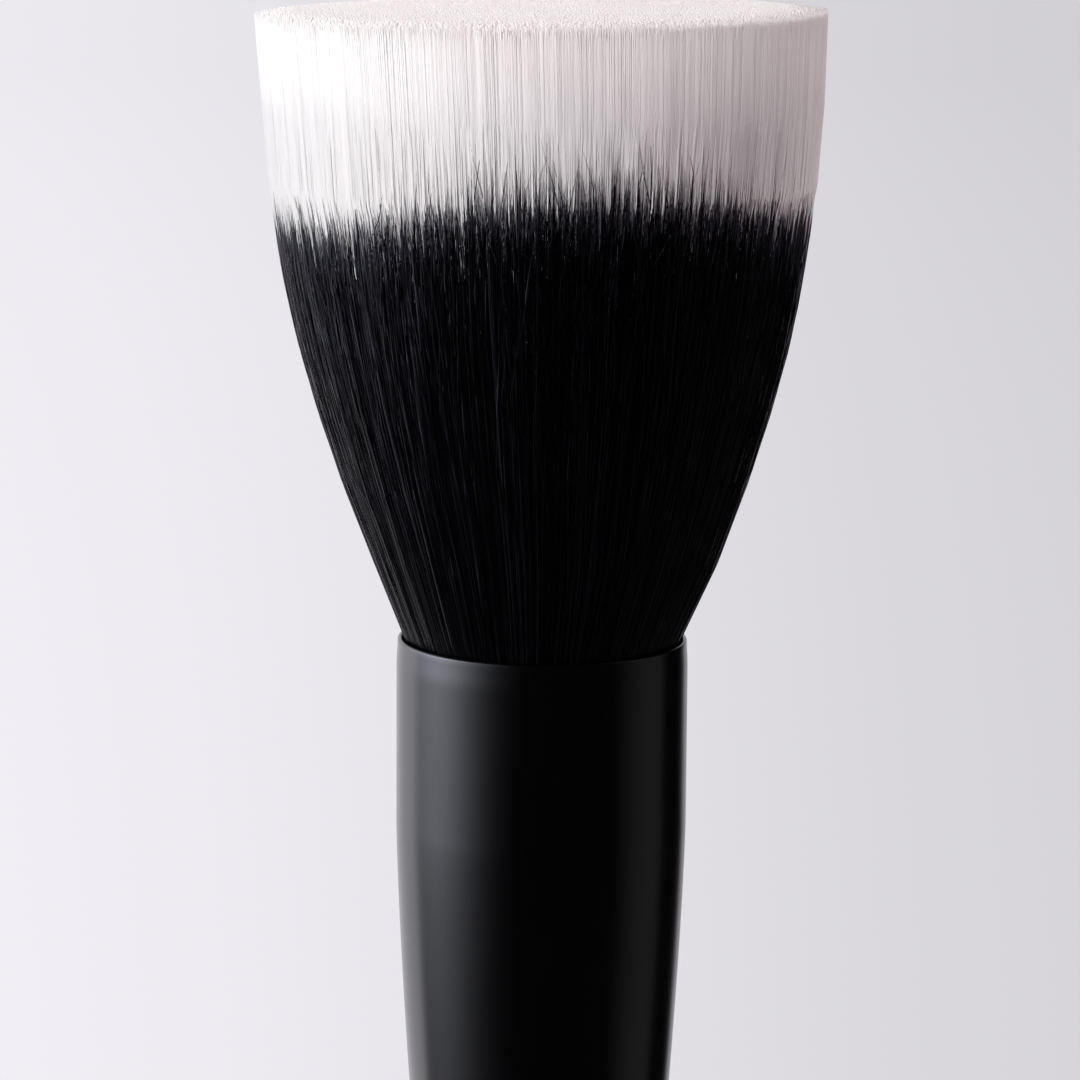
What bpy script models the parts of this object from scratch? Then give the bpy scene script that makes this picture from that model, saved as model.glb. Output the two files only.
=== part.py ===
"""Foundation brush: a flared tuft of black hair and white fibre in a metal ferrule on a wooden handle.

The brush stands upright. +Z runs from the flat butt of the handle up to the cut top of the tuft, and
the origin is the centre of the butt. The tuft is made of rings, one inside the other: each is a slice
of the set roots with its strands standing on it, short and pointed in black, long and cut in white.
"""

import math
import random
from collections import namedtuple

import bmesh
import bpy
from mathutils import Vector
from mathutils.geometry import delaunay_2d_cdt

# Clearance between pieces that touch on the real brush
SEAT_GAP = 0.0003
FULL_TURN = 2 * math.pi
SHARP_ANGLE = math.radians(35)
WELD_DISTANCE = 1e-7

# Handle, turned from wood: a tenon, a belly below the ferrule and a slim grip down to a flat butt
HANDLE_LENGTH = 0.094
HANDLE_BELLY_RADIUS = 0.0081
HANDLE_BELLY_DROP = 0.017
HANDLE_BUTT_RADIUS = 0.0046
BUTT_ROUND = 0.0012
SHOULDER_ROUND = 0.0005
TENON_LENGTH = 0.016
TENON_CHAMFER = 0.001
HANDLE_STEPS = 44

# Shares of the grip's length that shape its long taper
GRIP_LEAD_SHARE = 0.36
GRIP_TAIL_SHARE = 0.42

# Ferrule, one drawn metal tube: a straight collar at the mouth, a soft taper, two crimp rings
FERRULE_LENGTH = 0.048
FERRULE_MOUTH_RADIUS = 0.010
FERRULE_BASE_RADIUS = 0.0078
FERRULE_COLLAR = 0.013
FERRULE_WALL = 0.00035
FERRULE_TAPER_POWER = 1.35
MOUTH_ROUND = 0.00025
CRIMP_FIRST_HEIGHT = 0.005
CRIMP_PITCH = 0.0035
CRIMP_COUNT = 2
CRIMP_HALF_WIDTH = 0.0011
CRIMP_DEPTH = 0.00035
TAPER_STEPS = 7
FERRULE_STEPS = 48

# Adhesive film between the tenon and the ferrule
ADHESIVE_THICKNESS = 0.00025
ADHESIVE_STEPS = 30

# Roots of the tuft, set in resin inside the ferrule
ROOTS_BELOW_MOUTH = 0.001
ROOTS_LENGTH = 0.014
RESIN_THICKNESS = 0.004
ROOT_FACET = 0.0021

# Outline of the tuft: it leaves the mouth at the hair's own radius and flares, upright by the top
TUFT_MOUTH_CLEARANCE = 0.00023
TUFT_TOP_RADIUS = 0.0190
TUFT_HEIGHT = 0.0425
TUFT_FLARE_POWER = 2.12

# Black tips: a shallow dome, which stands a little higher towards the front and the back
BLACK_EDGE_HEIGHT = 0.0307
BLACK_DOME_RISE = 0.0012
BLACK_FRONT_RISE = 0.0018
BLACK_TIP_SPREAD = 0.0011
WHITE_TIP_SPREAD = 0.0002

# A strand is a lock of hair: three sides, the flat one outwards
STRAND_SEED = 11
STRAND_SIDES = 3
LOCK_DEPTH_SHARE = 0.5

# Heights of a strand's sections as shares of its length, and their widths as shares of the full one
HAIR_LEVEL_SHARES = ((0.0, 1.0), (0.30, 1.0), (0.62, 1.0), (0.84, 0.62), (1.0, 0.12))
FIBRE_LEVEL_SHARES = ((0.0, 0.66), (0.23, 0.66), (0.44, 0.66), (0.61, 0.66), (0.75, 0.80), (1.0, 0.95))
INNER_HAIR_LEVEL_SHARES = ((0.0, 1.0), (0.80, 0.80), (1.0, 0.12))
CORE_FIBRE_LEVEL_SHARES = ((0.0, 0.80), (0.62, 0.90), (1.0, 0.85))

# The white rings fan out between and above the black tips. Each begins at its own drop below them.
OUTER_FAN_DROP = 0.0090
OUTER_FAN_LENGTH = 0.0095
CORE_FAN_DROP = 0.0040
CORE_FAN_LENGTH = 0.0150

# Rings of the tuft from the outside in. band_shares are the ring's inner and outer edge as shares of
# the roots' radius, rows the strands in each row from the outside in, lock_share a strand's width as
# a share of its row's spacing, and fan_share how much further out the ring stands at the top.
Ring = namedtuple("Ring", "name kind band_shares rows lock_share level_shares fan_share fan_drop fan_length")
RINGS = (
    Ring("black_hair_outer", "black", (0.870, 1.0), (60,), 0.86, HAIR_LEVEL_SHARES,
         0.0, OUTER_FAN_DROP, OUTER_FAN_LENGTH),
    Ring("white_fibre_outer", "white", (0.655, 0.870), (60, 50), 0.84, FIBRE_LEVEL_SHARES,
         0.155, OUTER_FAN_DROP, OUTER_FAN_LENGTH),
    Ring("black_hair_inner", "black", (0.505, 0.655), (44,), 0.70, INNER_HAIR_LEVEL_SHARES,
         0.0, OUTER_FAN_DROP, OUTER_FAN_LENGTH),
    Ring("white_fibre_core", "white", (0.0, 0.505), (32, 25, 18, 11, 4), 0.70, CORE_FIBRE_LEVEL_SHARES,
         0.55, CORE_FAN_DROP, CORE_FAN_LENGTH),
)

# Heights of the assembly, worked out from the sizes above
FERRULE_BASE_Z = HANDLE_LENGTH + SEAT_GAP
MOUTH_Z = FERRULE_BASE_Z + FERRULE_LENGTH
TENON_TOP = TENON_LENGTH - SEAT_GAP
ROOTS_TOP = FERRULE_LENGTH - ROOTS_BELOW_MOUTH
ROOTS_BOTTOM = ROOTS_TOP - ROOTS_LENGTH
RESIN_TOP = ROOTS_BOTTOM - SEAT_GAP
RESIN_BOTTOM = RESIN_TOP - RESIN_THICKNESS


def clear_scene():
    """Remove every object that is in the scene."""
    for thing in list(bpy.data.objects):
        bpy.data.objects.remove(thing, do_unlink=True)


def principled(name, colour, roughness, metallic=0.0, coat=0.0):
    """One Principled BSDF material."""
    material = bpy.data.materials.new(name)
    material.use_nodes = True
    shader = material.node_tree.nodes["Principled BSDF"]
    shader.inputs["Base Color"].default_value = (*colour, 1.0)
    shader.inputs["Roughness"].default_value = roughness
    shader.inputs["Metallic"].default_value = metallic
    shader.inputs["Coat Weight"].default_value = coat
    return material


def add_object(name, shape, material):
    """Turn a finished bmesh into a named, shaded object."""
    bmesh.ops.recalc_face_normals(shape, faces=shape.faces)
    mesh = bpy.data.meshes.new(name)
    shape.to_mesh(mesh)
    shape.free()
    mesh.materials.append(material)
    mesh.shade_smooth()
    mesh.set_sharp_from_angle(angle=SHARP_ANGLE)
    thing = bpy.data.objects.new(name, mesh)
    bpy.context.scene.collection.objects.link(thing)
    return thing


def turned(name, outline, steps, material, closed=False):
    """Revolve an outline of (radius, height) points about the axis, as on a lathe."""
    shape = bmesh.new()
    points = [shape.verts.new((radius, 0, height)) for radius, height in outline]
    pairs = list(zip(points, points[1:]))
    if closed:
        pairs.append((points[-1], points[0]))
    edges = [shape.edges.new(pair) for pair in pairs]
    bmesh.ops.spin(shape, geom=points + edges, axis=(0, 0, 1), cent=(0, 0, 0),
                   angle=FULL_TURN, steps=steps, use_merge=True)
    bmesh.ops.remove_doubles(shape, verts=shape.verts, dist=WELD_DISTANCE)
    return add_object(name, shape, material)


def arc(centre, radius, start, end, steps):
    """Points of a circular arc between two angles in degrees, both ends included."""
    turns = [math.radians(start + (end - start) * step / steps) for step in range(steps + 1)]
    return [(centre[0] + radius * math.cos(turn), centre[1] + radius * math.sin(turn)) for turn in turns]


def bezier(start, lead, tail, end, steps):
    """Points of a cubic curve after its first point."""
    points = []
    for step in range(1, steps + 1):
        t = step / steps
        weights = ((1 - t) ** 3, 3 * t * (1 - t) ** 2, 3 * t ** 2 * (1 - t), t ** 3)
        corners = (start, lead, tail, end)
        points.append(tuple(sum(w * corner[axis] for w, corner in zip(weights, corners))
                            for axis in range(2)))
    return points


def smooth_step(value):
    """Ease from nothing to one as the value goes from nothing to one."""
    value = min(max(value, 0.0), 1.0)
    return value * value * (3 - 2 * value)


def crimp_heights():
    """Middle heights of the crimp rings above the ferrule's base."""
    return [CRIMP_FIRST_HEIGHT + number * CRIMP_PITCH for number in range(CRIMP_COUNT)]


def ferrule_radius(height):
    """Outer radius of the ferrule at a height above its base."""
    taper_length = FERRULE_LENGTH - FERRULE_COLLAR
    drop_share = max(0.0, (taper_length - height) / taper_length)
    narrowing = FERRULE_MOUTH_RADIUS - FERRULE_BASE_RADIUS
    radius = FERRULE_MOUTH_RADIUS - narrowing * drop_share ** FERRULE_TAPER_POWER
    for middle in crimp_heights():
        reach = abs(height - middle) / CRIMP_HALF_WIDTH
        if reach < 1:
            radius -= CRIMP_DEPTH * (1 + math.cos(math.pi * reach)) / 2
    return radius


def bore_radius(height):
    """Inner radius of the ferrule at a height above its base."""
    return ferrule_radius(height) - FERRULE_WALL


def ferrule_heights():
    """Heights of the ferrule's outline points above its base, from the collar's foot down."""
    taper_top = FERRULE_LENGTH - FERRULE_COLLAR
    crimps = sorted(crimp_heights(), reverse=True)
    taper_foot = crimps[0] + CRIMP_HALF_WIDTH
    heights = [taper_top + (taper_foot - taper_top) * step / TAPER_STEPS for step in range(TAPER_STEPS)]
    for middle in crimps:
        heights += [middle + CRIMP_HALF_WIDTH * share for share in (1, 0.5, 0, -0.5, -1)]
    return heights + [0]


def wall_points(offset, top, bottom):
    """Points at a distance inside the bore between two heights, from the top down."""
    between = [height for height in ferrule_heights() if bottom < height < top]
    return [(bore_radius(height) - offset, FERRULE_BASE_Z + height) for height in (top, *between, bottom)]


def build_handle(material):
    """The wooden handle, from the top of its tenon down to the butt."""
    tenon_offset = 2 * SEAT_GAP + ADHESIVE_THICKNESS
    tenon = wall_points(tenon_offset, TENON_TOP - TENON_CHAMFER, 0)
    tenon_top_radius = tenon[0][0] - TENON_CHAMFER
    outline = [(0, FERRULE_BASE_Z + TENON_TOP), (tenon_top_radius, FERRULE_BASE_Z + TENON_TOP)]
    outline += tenon
    outline.append((tenon[-1][0], HANDLE_LENGTH))
    shoulder = (FERRULE_BASE_RADIUS - SHOULDER_ROUND, HANDLE_LENGTH - SHOULDER_ROUND)
    outline += arc(shoulder, SHOULDER_ROUND, 90, 0, 2)
    start = outline[-1]
    belly = (HANDLE_BELLY_RADIUS, HANDLE_LENGTH - HANDLE_BELLY_DROP)
    belly_lead = (HANDLE_BELLY_RADIUS, (start[1] + belly[1]) / 2)
    start_lead = (start[0] + (belly[0] - start[0]) / 2, (start[1] + belly_lead[1]) / 2)
    outline += bezier(start, start_lead, belly_lead, belly, 3)
    foot = (HANDLE_BUTT_RADIUS, BUTT_ROUND)
    grip = belly[1] - foot[1]
    grip_lead = (belly[0], belly[1] - grip * GRIP_LEAD_SHARE)
    grip_tail = (foot[0], foot[1] + grip * GRIP_TAIL_SHARE)
    outline += bezier(belly, grip_lead, grip_tail, foot, 10)
    outline += arc((foot[0] - BUTT_ROUND, BUTT_ROUND), BUTT_ROUND, 0, -90, 4)[1:]
    outline.append((0, 0))
    return turned("handle", outline, HANDLE_STEPS, material)


def build_ferrule(material):
    """The ferrule: its outer side from the rounded mouth down, then its bore back up."""
    mouth = FERRULE_LENGTH - MOUTH_ROUND
    outline = arc((ferrule_radius(mouth) - MOUTH_ROUND, FERRULE_BASE_Z + mouth), MOUTH_ROUND, 90, 0, 3)
    outline += wall_points(-FERRULE_WALL, FERRULE_LENGTH - FERRULE_COLLAR, 0)
    outline += reversed(wall_points(0, FERRULE_LENGTH - FERRULE_COLLAR, 0))
    outline.append((bore_radius(FERRULE_LENGTH), MOUTH_Z))
    return turned("ferrule", outline, FERRULE_STEPS, material, closed=True)


def build_handle_adhesive(material):
    """The cured film that holds the tenon in the ferrule."""
    outline = wall_points(SEAT_GAP, TENON_TOP - TENON_CHAMFER, 0)
    outline += reversed(wall_points(SEAT_GAP + ADHESIVE_THICKNESS, TENON_TOP - TENON_CHAMFER, 0))
    return turned("handle_adhesive", outline, ADHESIVE_STEPS, material, closed=True)


def build_root_resin(material):
    """The resin plug under the set roots."""
    wall = wall_points(SEAT_GAP, RESIN_TOP, RESIN_BOTTOM)
    outline = [(0, wall[0][1])] + wall + [(0, wall[-1][1])]
    return turned("root_resin", outline, ADHESIVE_STEPS, material)


def roots_radius():
    """Outer radius of the set roots, which fit the bore at their lower end."""
    return bore_radius(ROOTS_BOTTOM) - SEAT_GAP


def tuft_radius(height):
    """Outer radius of the tuft at a height above the ferrule's mouth."""
    mouth_radius = bore_radius(FERRULE_LENGTH) - TUFT_MOUTH_CLEARANCE
    left = max(0.0, 1 - height / TUFT_HEIGHT)
    return mouth_radius + (TUFT_TOP_RADIUS - mouth_radius) * (1 - left ** TUFT_FLARE_POWER)


def black_edge(turn):
    """Height above the mouth where the outermost black tips end, on one side of the tuft."""
    return BLACK_EDGE_HEIGHT - BLACK_FRONT_RISE * math.cos(2 * turn)


def tip_height(kind, spread_share, turn, chance):
    """Height of a strand's tip above the mouth, by its kind and its place in the tuft."""
    jitter = chance.uniform(-1, 1)
    if kind == "white":
        return TUFT_HEIGHT - WHITE_TIP_SPREAD * (1 + jitter)
    dome = BLACK_DOME_RISE * (1 - spread_share ** 2)
    return black_edge(turn) + dome + BLACK_TIP_SPREAD * jitter


def section(ring, row_radius, count, turn, height, width_share):
    """The three corners of a strand at one height above the mouth: two outer ones and an inner one."""
    fan = smooth_step((height - black_edge(turn) + ring.fan_drop) / ring.fan_length)
    root_share = row_radius / tuft_radius(-ROOTS_BELOW_MOUTH)
    radius = tuft_radius(height) * root_share * (1 + ring.fan_share * fan)
    full_width = FULL_TURN * radius / count * ring.lock_share
    width = full_width * width_share
    depth = width * LOCK_DEPTH_SHARE
    outwards = Vector((math.cos(turn), math.sin(turn), 0))
    sideways = Vector((-math.sin(turn), math.cos(turn), 0))
    front = radius + depth / STRAND_SIDES
    middle = Vector((0, 0, MOUTH_Z + height))
    return (
        middle + outwards * front - sideways * (width / 2),
        middle + outwards * front + sideways * (width / 2),
        middle + outwards * (front - depth),
    )


def strand_sections(ring, chance):
    """The sections of every strand of a ring, from its root to its tip."""
    inner = roots_radius() * ring.band_shares[0]
    outer = roots_radius() * ring.band_shares[1]
    strands = []
    for row, count in enumerate(ring.rows):
        row_radius = outer - (outer - inner) * (row + 0.5) / len(ring.rows)
        stagger = 0.5 if ring.kind == "white" and row % 2 == 0 else 0.0
        for number in range(count):
            turn = FULL_TURN * (number + stagger) / count
            top = tip_height(ring.kind, row_radius / roots_radius(), turn, chance)
            length = top + ROOTS_BELOW_MOUTH
            strands.append([
                section(ring, row_radius, count, turn, length * share - ROOTS_BELOW_MOUTH, width_share)
                for share, width_share in ring.level_shares
            ])
    return strands


def circle(radius, height, sides):
    """Corners of a level polygon."""
    turns = [FULL_TURN * number / sides for number in range(sides)]
    return [Vector((radius * math.cos(turn), radius * math.sin(turn), height)) for turn in turns]


def close_loop(first, count):
    """Pairs of neighbouring numbers round a loop."""
    return [(first + number, first + (number + 1) % count) for number in range(count)]


def build_ring(ring, material, chance):
    """One ring of the tuft: a slice of the set roots, and strands that grow out of its top face."""
    outer = roots_radius() * ring.band_shares[1]
    outer -= 0 if ring.band_shares[1] == 1 else SEAT_GAP / 2
    inner = roots_radius() * ring.band_shares[0] + SEAT_GAP / 2 if ring.band_shares[0] else 0
    sides = round(FULL_TURN * outer / ROOT_FACET)
    top = FERRULE_BASE_Z + ROOTS_TOP
    bottom = FERRULE_BASE_Z + ROOTS_BOTTOM
    strands = strand_sections(ring, chance)

    loops = [circle(outer, top, sides)]
    if inner:
        loops.append(circle(inner, top, sides))
    loops += [sections[0] for sections in strands]
    points, edges = [], []
    for loop in loops:
        edges += close_loop(len(points), len(loop))
        points += loop
    flat = [point.to_2d() for point in points]
    places, _, faces, origins, _, _ = delaunay_2d_cdt(flat, edges, [], 0, WELD_DISTANCE)

    shape = bmesh.new()
    corners = [shape.verts.new((place.x, place.y, top)) for place in places]
    by_point = {point: corners[number] for number, owners in enumerate(origins) for point in owners}
    rims = sides if not inner else 2 * sides
    for face in faces:
        owners = [min(origins[number]) for number in face]
        in_hole = inner and all(sides <= owner < rims for owner in owners)
        in_strand = min(owners) >= rims and len({(owner - rims) // STRAND_SIDES for owner in owners}) == 1
        if not in_hole and not in_strand:
            shape.faces.new([corners[number] for number in face])

    first = rims
    for sections in strands:
        below = [by_point[first + number] for number in range(STRAND_SIDES)]
        first += STRAND_SIDES
        for level in sections[1:]:
            above = [shape.verts.new(corner) for corner in level]
            for side in range(STRAND_SIDES):
                after = (side + 1) % STRAND_SIDES
                shape.faces.new((below[side], below[after], above[after], above[side]))
            below = above
        shape.faces.new(below)

    outer_top = [by_point[number] for number in range(sides)]
    outer_foot = [shape.verts.new(corner) for corner in circle(outer, bottom, sides)]
    bands = [(outer_top, outer_foot)]
    if inner:
        inner_top = [by_point[sides + number] for number in range(sides)]
        inner_foot = [shape.verts.new(corner) for corner in circle(inner, bottom, sides)]
        bands += [(outer_foot, inner_foot), (inner_foot, inner_top)]
    else:
        shape.faces.new(outer_foot)
    for upper, lower in bands:
        for side in range(sides):
            after = (side + 1) % sides
            shape.faces.new((upper[side], upper[after], lower[after], lower[side]))
    bmesh.ops.triangulate(shape, faces=shape.faces)
    return add_object(ring.name, shape, material)


def build_brush():
    """The whole brush, one object for each piece."""
    clear_scene()
    lacquer = principled("lacquered_wood", (0.012, 0.012, 0.013), 0.22, coat=0.6)
    black_metal = principled("satin_black_metal", (0.020, 0.021, 0.024), 0.34, metallic=0.7)
    adhesive = principled("cured_adhesive", (0.62, 0.52, 0.34), 0.30)
    resin = principled("root_resin", (0.10, 0.09, 0.08), 0.28)
    hairs = {
        "black": principled("black_hair", (0.010, 0.010, 0.012), 0.42),
        "white": principled("white_fibre", (0.86, 0.84, 0.84), 0.34),
    }
    build_handle(lacquer)
    build_ferrule(black_metal)
    build_handle_adhesive(adhesive)
    build_root_resin(resin)
    chance = random.Random(STRAND_SEED)
    for ring in RINGS:
        build_ring(ring, hairs[ring.kind], chance)


build_brush()
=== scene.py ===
"""Looks of the foundation brush: fine hair, satin ferrule, lacquered handle, soft light from the left."""
import math

import bmesh
import bpy
import numpy as np
from mathutils import Matrix, Vector


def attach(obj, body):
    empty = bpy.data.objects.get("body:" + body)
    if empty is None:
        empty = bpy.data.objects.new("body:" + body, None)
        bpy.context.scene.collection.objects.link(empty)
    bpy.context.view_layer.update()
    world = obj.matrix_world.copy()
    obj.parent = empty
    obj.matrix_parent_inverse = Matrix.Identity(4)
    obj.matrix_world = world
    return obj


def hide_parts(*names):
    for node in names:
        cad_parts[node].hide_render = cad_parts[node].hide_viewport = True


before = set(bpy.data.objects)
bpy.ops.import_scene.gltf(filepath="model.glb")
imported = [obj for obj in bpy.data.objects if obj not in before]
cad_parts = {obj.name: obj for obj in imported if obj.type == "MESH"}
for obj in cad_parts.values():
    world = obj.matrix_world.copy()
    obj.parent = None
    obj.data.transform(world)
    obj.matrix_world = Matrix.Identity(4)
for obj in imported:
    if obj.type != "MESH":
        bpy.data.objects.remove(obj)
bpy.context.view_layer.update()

FULL_TURN = 2 * math.pi
GOLDEN_TURN = FULL_TURN * (3 - math.sqrt(5)) / 2
SEED = 2024

# Heights of the assembly in metres, as in the CAD
HANDLE_LENGTH = 0.094
FERRULE_BASE_Z = 0.0943
FERRULE_LENGTH = 0.048
MOUTH_Z = FERRULE_BASE_Z + FERRULE_LENGTH
TUFT_HEIGHT = 0.0429

# Ferrule outline
MOUTH_RADIUS = 0.010
BASE_RADIUS = 0.0078
COLLAR = 0.013
WALL = 0.00035
TAPER_POWER = 1.35
CRIMP_HEIGHTS = (0.005, 0.0085)
CRIMP_HALF_WIDTH = 0.0011
CRIMP_DEPTH = 0.00035
LIP_LENGTH = 0.0020
LIP_DEPTH = 0.00008
LIP_ROUND = 0.00017
FERRULE_SIDES = 256
FERRULE_ROWS = 150
LIP_STEPS = 10

# Handle outline
BELLY_RADIUS = 0.0081
BELLY_DROP = 0.017
BUTT_RADIUS = 0.0046
BUTT_ROUND = 0.0012
SHOULDER_ROUND = 0.0005
GRIP_LEAD_SHARE = 0.36
GRIP_TAIL_SHARE = 0.42
TENON_TOP_Z = 0.11
TENON_GAP = 0.00085
TENON_CHAMFER = 0.001
HANDLE_SIDES = 192
TENON_STEPS = 30
SHOULDER_STEPS = 8
BELLY_STEPS = 24
GRIP_STEPS = 90
BUTT_STEPS = 12

# Meshes of turned pieces
WELD_DISTANCE = 1e-7
SLIVER_LENGTH = 1e-8
SHARP_EDGE = math.radians(40)

# Tuft outline
TUFT_MOUTH_RADIUS = 0.00949
TUFT_TOP_RADIUS = 0.0190
TUFT_FLARE_POWER = 2.12
ROOTS_RADIUS = 0.00924
ROOTS_DEPTH = 0.0148
BLACK_EDGE = 0.0317
BLACK_EDGE_TURNS = (-90, -69, -45, -28, -14, 0, 12, 26, 42, 64, 90)
BLACK_EDGE_DROPS = (0.0048, 0.0043, 0.0034, 0.0018, 0.0005, 0, 0, 0.0004, 0.0010, 0.0030, 0.0052)
BLACK_DOME_RISE = 0.0012
TUFT_STEPS = (0, 0.05, 0.10, 0.16, 0.22, 0.35, 0.48, 0.60, 0.72, 0.85, 0.93, 1)
TUFT_TRIMS = (0, 0, -0.00006, -0.00008, -0.00009, -0.00003, 0.00006, 0.00006, 0.00001, -0.00002, 0.00006,
              0.00014)
TUFT_SHIFTS = (0.00003, 0.00015, 0.00019, 0.00017, 0.00012, 0.00005, -0.00003, -0.00013, -0.00015, -0.00019,
               -0.00029, -0.00037)
TUFT_TILT = 0.013

# Strands of all kinds. A share is of the tuft's radius, and a turn is in radians about its axis
STRAND_SIDES = 4
PIECE_TRIANGLES = 197000
LAYER_SHARE = 0.0036
LAYER_SPREAD = 0.0004
SIDE_SPREAD = 0.2
SCATTER_TURN = 0.0015
SCATTER_SHARE = 0.0012
WAVER_PACES = (2.0, 7.0)

# Waves round the axis: a name, how many there are, and the fewest and the most crests to the turn
TALL_LOCKS = ("tall locks", 20, 40, 140)
SMALL_LOCKS = ("small locks", 30, 150, 600)
GROOVES = ("grooves", 30, 50, 260)
LEANS = ("leans", 20, 15, 90)
TONES = ("tones", 20, 40, 200)

# Black hair: how many, between which shares, and in how many locks
HAIR_LAYERS = 5
HAIRS_PER_LAYER = 1450
LOOSE_HAIRS = 5000
LOOSE_HAIR_RING = (0.82, 0.98)
HEART_HAIRS = 2600
HAIR_HEART = (0.0, 0.84)
SHELL_LOCKS = 420
HEART_LOCKS = 120

# Black hair: widths, with a profile of (level, share of the full width), and tips
HAIR_LEVELS = np.array((0.0, 0.20, 0.40, 0.58, 0.74, 0.86, 0.94, 1.0))
HAIR_WIDTH = 0.000076
HAIR_WIDTH_SHARES = (0.75, 1.25)
HAIR_PROFILE = ((0, 0.7), (0.5, 1), (0.86, 0.85), (0.94, 0.5), (1, 0.08))
TALL_LOCK_RISE = 0.00045
SMALL_LOCK_RISE = 0.00040
HAIR_TIP_SPREAD = 0.0010
HAIR_TIP_REACH = 0.0006

# Black hair: how it leans, wavers and gathers into locks
HAIR_DRIFT = 0.024
HAIR_WAVER = 0.026
LOCK_LAYERS = 5
LOCK_LAYER_TURN = 0.37
LOCK_REACH = 0.05
LOCK_PULL = 0.5
LOCK_LEAN = 0.022

# Black hair: how far its shading follows the tuft's surface
HAIR_LEAN = 4.0
HAIR_SLOPE_SHARE = 0.7
SLOPE_STEP = 0.0004
STRAND_TURN_SPREAD = 0.20
POINT_TURN_SPREAD = 0.12
NOD_SPREAD = 0.15

# White fibre: how many and between which shares
FIBRE_LAYERS = 6
FIBRES_PER_LAYER = 1750
OVER_FIBRES = 1200
RING_FIBRES = 20000
FIBRE_RING = (0.62, 0.982)
HEART_FIBRES = 12000
FIBRE_HEART = (0.0, 0.64)

# White fibre: widths and tones
FIBRE_LEVELS = np.array((0.0, 0.16, 0.32, 0.48, 0.62, 0.74, 0.86, 1.0))
FIBRE_WIDTH = 0.000090
FIBRE_WIDTH_SHARES = (0.88, 1.12)
FIBRE_PROFILE = ((0, 0.5), (0.5, 1), (0.88, 1), (1, 0.95))
INNER_LEVELS = np.array((0.0, 0.22, 0.46, 0.70, 0.87, 1.0))
INNER_WIDTH = 0.00018
TONE_WAVE = 0.18
TONE_SPREAD = 0.15

# White fibre: its cut, lowest at the rim, and its ways up
CUT_GAP = 0.00005
SHELL_CUT_SPREAD = 0.00005
INNER_CUT_SPREAD = 0.00003
RIM_START = 0.86
RIM_DROP = 0.0003
RIM_SPREAD = 0.0004
SHELL_DRIFT = 0.0012
INNER_DRIFT = 0.003
FIBRE_LEAN = 0.004
GROOVE_SHARE = 0.0010
GROOVE_FLOOR = 0.2
GROOVE_DEPTH = 1.6

# White fibre: how it is held in by the black hair and fans out above it
FIBRE_HELD_SHARE = 0.948
FAN_START_DROP = 0.0040
FAN_START_SPREAD = 0.0010
FAN_LENGTH = 0.0070

# White fibre: how far its shading follows the tuft's side and its cut top
SIDE_LEAN = 3.2
UP_LEAN = 1.5
CUT_DEPTH = 0.0065
RIM_UP_SHARE = 0.75
INSIDE_SHARE = 0.12

# Single white fibres that lie over the black edge
OVER_WIDTH_SHARES = (0.35, 0.75)
OVER_PROFILE = ((0, 0.7), (0.5, 1), (0.88, 1), (1, 0.8))
OVER_SHARES = (0.992, 1.002)
OVER_HELD_SHARE = 0.952
OVER_REACH_DOWN = 0.0004
OVER_REACH_SPREAD = 0.0008
OVER_FAN_LENGTH = 0.0030
OVER_CUT_GAP = 0.0002
OVER_CUT_SPREAD = 0.0001
OVER_SLANT = 0.02
OVER_PIVOT = 0.7

# Materials: the usual span of noise, and places along a strand from 0 at its root to 1 at its tip
NOISE_SPAN = (0.3, 0.7)
# Where the black hair's paler, bluish tips begin: partly the hair's own paler tips, partly painted sheen
HAIR_PALE_TIP_AND_SHEEN_START = 0.83
# Painted shade: the white fibre's dark colour low down among the black hair, and the span over which it
# fades out
FIBRE_SHADE_FADE_SPAN = (0.42, 0.56)
FIBRE_PAINTED_SHADE_COLOUR = (0.012, 0.012, 0.014, 1.0)
FIBRE_THROUGH_SHARE = 0.22

# Backdrop: its level, how its painted light darkens to the right, and its lavender tint
PALE_LEVEL = 0.735
PALE_PAINTED_LIGHT_SWING = -0.142
PALE_STEEPNESS = 7.0
PALE_TINT = (1.0, 0.982, 1.034)
LEAST_LENGTH = 0.0001
FLOOR_RADIUS = 6
FLOOR_SIDES = 96
FLOOR_COLOUR = (0.80, 0.785, 0.825, 1.0)
# Painted light on the far floor: how much lighter it is toward the camera, and over which distances from it
FLOOR_PAINTED_LIGHT = 0.045
FLOOR_PAINTED_LIGHT_RANGE = (0.55, 3.0)
FLOOR_FADE_RANGE = (0.10, 0.32)

# Room, in degrees: a turn is counted from the camera's side, and to the camera's right it is positive
WINDOW_TURN = -89
WINDOW_TURN_SPREAD = 21
WINDOW_RISE = 10
WINDOW_RISE_SPREAD = 14.5
WINDOW_COLOUR = (0.93, 0.95, 1.06, 1.0)
LEFT_WALL_TURNS = (-123, -112)
LEFT_WALL_LEVEL = 0.95
RIGHT_WALL_TURNS = (146, 158)
RIGHT_WALL_LEVEL = 0.62
CARD_START_TURNS = (60, 84)
CARD_END_TURNS = (106, 114)
CARD_LEVEL = 0.10
ROOM_LEVEL = 0.004

# Strength of the room's lights for matt surfaces, and as they show in gloss
WALL_STRENGTHS = (0.22, 1.0)
WINDOW_STRENGTHS = (0.25, 4.9)

# Lamps: name, place, point aimed at, side, radiance and colour
LAMPS = (
    ("soft_left", (-0.68, -0.73, 0.42), (0, 0, 0.16), 0.8, 4.35, (0.98, 1.0, 1.0)),
    ("fill", (0.45, -0.45, 0.75), (0, 0, 0.14), 0.7, 0.16, (1.0, 0.30, 0.38)),
    ("overhead", (-0.10, 0.02, 0.30), (0, 0, 0.18), 0.1, 4.6, (0.97, 1.0, 1.0)),
    ("rim", (0.0, -0.14, 0.49), (0, 0, 0.18), 0.2, 4.2, (1.0, 0.91, 0.93)),
    ("right_edge", (0.85, 0.40, 0.35), (0, 0, 0.16), 0.7, 3.1, (1.0, 0.88, 0.90)),
)

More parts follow.
